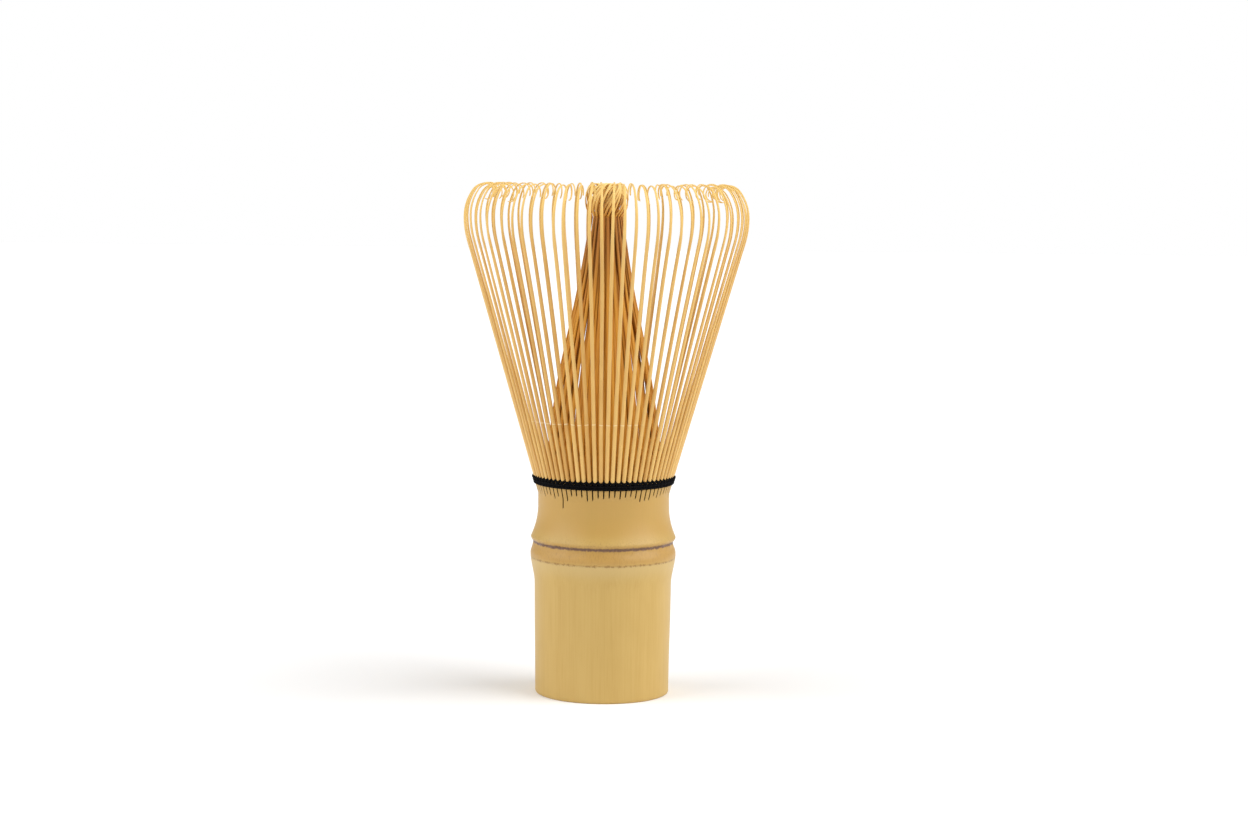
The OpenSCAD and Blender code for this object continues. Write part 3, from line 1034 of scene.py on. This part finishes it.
def curled_tip(number, jitter):
    """The middle line of one inner tip: out from the neck, round and over the knot, and into its middle."""
    bundle = bpy.context.scene.whisk_bundle
    start = inner_tine(number, KNOT_LOW.z - 1 * MM, KNOT_LOW.z, 1 * MM, jitter)[-1]["place"]
    way = math.atan2(start.y, start.x)
    # The tip's round lies inside the knot's, the deeper its layer the smaller
    size = jitter["size"] * (1 - 0.17 * (number % bundle.layers))
    outer_radius = KNOT_HIGH.x * size
    inner_radius = 1.0 * MM
    middle = (outer_radius + inner_radius) / 2
    half_wide = outer_radius - middle
    half_tall = (KNOT_HIGH.z - KNOT_LOW.z) / 2 * size * 0.96
    centre = (KNOT_LOW.z + KNOT_HIGH.z) / 2
    first = math.radians(-62)
    steps, entry = 26, 4
    line = []
    for step in range(steps + 1):
        share = step / steps
        # Four steps out from the shaft to where the round begins, and the rest on the round
        turned = mixed(first, jitter["depth"], max(0.0, (step - entry) / (steps - entry)))
        radius = middle + half_wide * math.cos(turned)
        height = centre + half_tall * math.sin(turned)
        heading = turned
        if step < entry:
            ease = smooth(step / entry)
            radius = mixed(start.xy.length, radius, ease)
            height = mixed(start.z, height, step / entry)
            heading = mixed(0.15, -1.0, ease)
        sweep = way + bundle.swirl * jitter["swirl"] * smooth(share) ** 1.2
        line.append(
            {
                "place": ray(sweep) * radius + UP * height,
                "side": aside(sweep),
                "out": (ray(sweep) * math.cos(heading) + UP * math.sin(heading)).normalized(),
                "width": mixed(bundle.neck_width, bundle.tip_width, smooth(share * 4)),
                "thickness": bundle.tip_thickness,
                "along": 0.7 + 0.3 * share,
                "tone": jitter["tone"],
            }
        )
    # The strip lies square to its own way along the knot
    for index, point in enumerate(line):
        after = line[min(index + 1, steps)]["place"]
        before = line[max(index - 1, 0)]["place"]
        forward = (after - before).normalized()
        point["side"] = point["out"].cross(forward).normalized()
        point["out"] = forward.cross(point["side"]).normalized()
    round_tip(line)
    return line


class WHISK_OT_tip_knot(bpy.types.Operator):
    """Curl the inner tips over each other into the round knot on top of the bundle"""

    bl_idname = "whisk.tip_knot"
    bl_label = "Tip Knot"

    def execute(self, context):
        bundle = context.scene.whisk_bundle
        material = inner_material(bundle)
        lines = [curled_tip(number, jitter) for number, jitter in enumerate(bundle_jitter(bundle))]
        piece = strip_piece("curled_inner_tips", lines, 8, material)
        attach(piece, "bundle_upper")
        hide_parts("tip_knot")
        return {"FINISHED"}


# ---- lacing ----


def thread_piece(name, node, lines, thickness):
    """A piece of twisted thread along lines of points, this many times as thick as the thread."""
    lacing = bpy.context.scene.whisk_lacing
    material = bpy.data.materials.get("Black dyed cotton thread") or dyed_cotton(lacing)
    source = polylines(name, [[{"place": place} for place in line] for line in lines])
    inputs = {
        "Plies": lacing.plies,
        "Diameter": lacing.diameter * thickness,
        "Twist": lacing.twist,
        "Material": material,
    }
    piece = new_piece(name, run_nodes(source, thread_tree(), inputs), [material])
    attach(piece, "handle")
    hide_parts(node)


def lace_radius(largest, height):
    """Radius of a turn's middle at a height, from the largest radius that its turns reach."""
    scene = bpy.context.scene
    half = scene.whisk_lacing.diameter / 2
    return largest - half * 1.05 - (LACE_HIGH.z - half - height) * math.tan(scene.whisk_tines.lean)


def winding(largest, per_gap, rise, press):
    """A thread wound up the lacing. Its last turn climbs by rise, and all are pressed in by up to press,
    between the tines."""
    tines, lacing = bpy.context.scene.whisk_tines, bpy.context.scene.whisk_lacing
    low, high = LACE_LOW.z + lacing.diameter / 2, LACE_HIGH.z - lacing.diameter / 2
    last_turn, climb_share = lacing.turns - 1, 0.06
    places = []
    for step in range(tines.count * lacing.turns * per_gap + 1):
        number = step / per_gap
        wound = number / tines.count
        # Each turn lies level, and climbs to the next at the back
        turn = min(int(wound), last_turn)
        climb = smooth((wound - turn - 1) / climb_share + 1) if turn < last_turn else 0.0
        height = mixed(low, high, (turn + climb) / last_turn)
        on_last = smooth((wound - last_turn) * 12)
        # 1 in the middle of a gap between two tines and 0 at a tine
        gap = ((1 - math.cos(FULL_TURN * number)) / 2) ** 2
        radius = lace_radius(largest, height) - press * gap * mixed(0.3, 1.0, on_last)
        way = tine_direction(number - tines.count / 2)
        places.append(ray(way) * radius + UP * (height + rise * gap * on_last))
    return places


def crossing(number, drop):
    """The thread's run from the outer to the inner turns through the gap after a tine, this far below
    the top turn."""
    height = LACE_HIGH.z - bpy.context.scene.whisk_lacing.diameter / 2
    outside = lace_radius(LACE_HIGH.x, height) - 0.35 * MM
    inside = lace_radius(INNER_LACE_RADIUS, height)
    way, steps = tine_direction(number + 0.5), 8
    return [
        ray(way) * mixed(outside, inside, step / steps)
        + UP * (height - drop + 0.5 * MM * math.sin(math.pi * step / steps))
        for step in range(steps + 1)
    ]


def overhand(centre):
    """A small overhand knot, open where its two cut ends are."""
    size, depth, steps = 0.42 * MM, 0.24 * MM, 60
    knot = []
    for step in range(steps + 1):
        t = FULL_TURN * (step / steps * 0.94 + 0.03)
        across = 0.62 * size * (math.sin(t) + 1.6 * math.sin(2 * t))
        up = 0.5 * size * (math.cos(t) - 1.6 * math.cos(2 * t))
        knot.append(centre + Vector((across, -depth * math.sin(3 * t), up)))
    return knot


class WHISK_OT_lacing(bpy.types.Operator):
    """Lace the thread: its turns outside and inside the outer tines, its crossings and its end knot"""

    bl_idname = "whisk.lacing"
    bl_label = "Lacing"

    def execute(self, context):
        lacing, tines = context.scene.whisk_lacing, context.scene.whisk_tines
        outer = winding(LACE_HIGH.x, 10, lacing.rise, lacing.press)
        inner = winding(INNER_LACE_RADIUS, 5, 0.0, 0.0)
        crossings = [crossing(number, drop) for number in range(tines.count) for drop in (0.0, 0.42 * MM)]
        knot = overhand((END_KNOT_LOW + END_KNOT_HIGH) / 2)
        thread_piece("thread_outer_turns", "lacing_outer_turns", [outer], 1.1)
        thread_piece("thread_inner_turns", "lacing_inner_turns", [inner], 1.0)
        thread_piece("thread_crossings", "lacing_crossings", crossings, 0.72)
        thread_piece("thread_end_knot", "lacing_knot", [knot], 0.8)
        return {"FINISHED"}


# ---- stage ----


def soft_sun(name, side, height, spread, strength):
    """Soft light from far off, which lights the floor evenly. side is where it comes from, from +X."""
    data = bpy.data.lights.new(name, "SUN")
    data.energy = strength
    data.angle = spread
    light = bpy.data.objects.new(name, data)
    light.rotation_euler = (0, math.pi / 2 - height, side)
    bpy.context.scene.collection.objects.link(light)


class WHISK_OT_stage(bpy.types.Operator):
    """Set the white floor and room, the soft lights and the camera"""

    bl_idname = "whisk.stage"
    bl_label = "Stage"

    def execute(self, context):
        stage = context.scene.whisk_stage
        reach = stage.floor_reach
        corners = [(-reach, -reach, 0), (reach, -reach, 0), (reach, reach, 0), (-reach, reach, 0)]
        mesh = bpy.data.meshes.new("floor")
        mesh.from_pydata(corners, [], [(0, 1, 2, 3)])
        material, _, shader, _ = new_material("White paper sweep")
        shader.inputs["Base Color"].default_value = (0.98, 0.98, 0.98, 1.0)
        shader.inputs["Roughness"].default_value = 1.0
        floor = new_piece("floor", mesh, [material])
        world = bpy.data.worlds.new("White room")
        context.scene.world = world
        world.use_nodes = True
        background = world.node_tree.nodes["Background"]
        background.inputs["Color"].default_value = (1.0, 1.0, 1.0, 1.0)
        # The room looks white, and lights the whisk less than it looks
        seen = add(world.node_tree, "ShaderNodeLightPath").outputs["Is Camera Ray"]
        strength = mask(world.node_tree, seen, 0.0, 1.0)
        strength.node.inputs["To Min"].default_value = stage.sky
        world.node_tree.links.new(strength, background.inputs["Strength"])
        soft_sun("key_light", stage.key_side, stage.key_height, stage.spread, stage.key)
        soft_sun("fill_light", stage.fill_side, stage.fill_height, stage.spread, stage.fill)
        data = bpy.data.cameras.new("camera")
        data.sensor_width = 36.0
        data.lens = stage.focal
        data.dof.use_dof = False
        data.clip_start = 0.01
        camera = bpy.data.objects.new("camera", data)
        camera.location = (0, -stage.distance, stage.height)
        camera.rotation_euler = (math.pi / 2 - stage.pitch, stage.roll, -stage.pan)
        context.scene.collection.objects.link(camera)
        context.scene.camera = camera
        context.scene.view_settings.view_transform = "Standard"
        return {"FINISHED"}


class WHISK_PT_panel(bpy.types.Panel):
    """Sizes, colours and steps of the tea whisk"""

    bl_label = "Tea Whisk"
    bl_idname = "WHISK_PT_panel"
    bl_space_type = "VIEW_3D"
    bl_region_type = "UI"
    bl_category = "Tea Whisk"

    def draw(self, context):
        for group, steps in PARTS.items():
            box = self.layout.box()
            settings = getattr(context.scene, group)
            for name in settings.bl_rna.properties.keys():
                if name not in ("rna_type", "name"):
                    box.prop(settings, name)
            for step in steps:
                box.operator(step.bl_idname)


# Scene properties, each with the operators that read it, in building order
PARTS = {
    "whisk_stage": (WHISK_OT_stage,),
    "whisk_culm": (WHISK_OT_culm, WHISK_OT_septum),
    "whisk_tines": (WHISK_OT_outer_tines,),
    "whisk_bundle": (WHISK_OT_inner_tines, WHISK_OT_tip_knot),
    "whisk_lacing": (WHISK_OT_lacing,),
}
SETTINGS = {
    "whisk_stage": WHISK_PG_stage,
    "whisk_culm": WHISK_PG_culm,
    "whisk_tines": WHISK_PG_tines,
    "whisk_bundle": WHISK_PG_bundle,
    "whisk_lacing": WHISK_PG_lacing,
}
CLASSES = [*SETTINGS.values(), *(step for steps in PARTS.values() for step in steps), WHISK_PT_panel]


def register():
    for cls in CLASSES:
        bpy.utils.register_class(cls)
    for name, settings in SETTINGS.items():
        setattr(bpy.types.Scene, name, PointerProperty(type=settings))


def unregister():
    for name in SETTINGS:
        delattr(bpy.types.Scene, name)
    for cls in reversed(CLASSES):
        bpy.utils.unregister_class(cls)


def main():
    register()
    bpy.ops.whisk.stage()
    bpy.ops.whisk.culm()
    bpy.ops.whisk.septum()
    bpy.ops.whisk.outer_tines()
    bpy.ops.whisk.inner_tines()
    bpy.ops.whisk.tip_knot()
    bpy.ops.whisk.lacing()


if __name__ == "__main__":
    main()
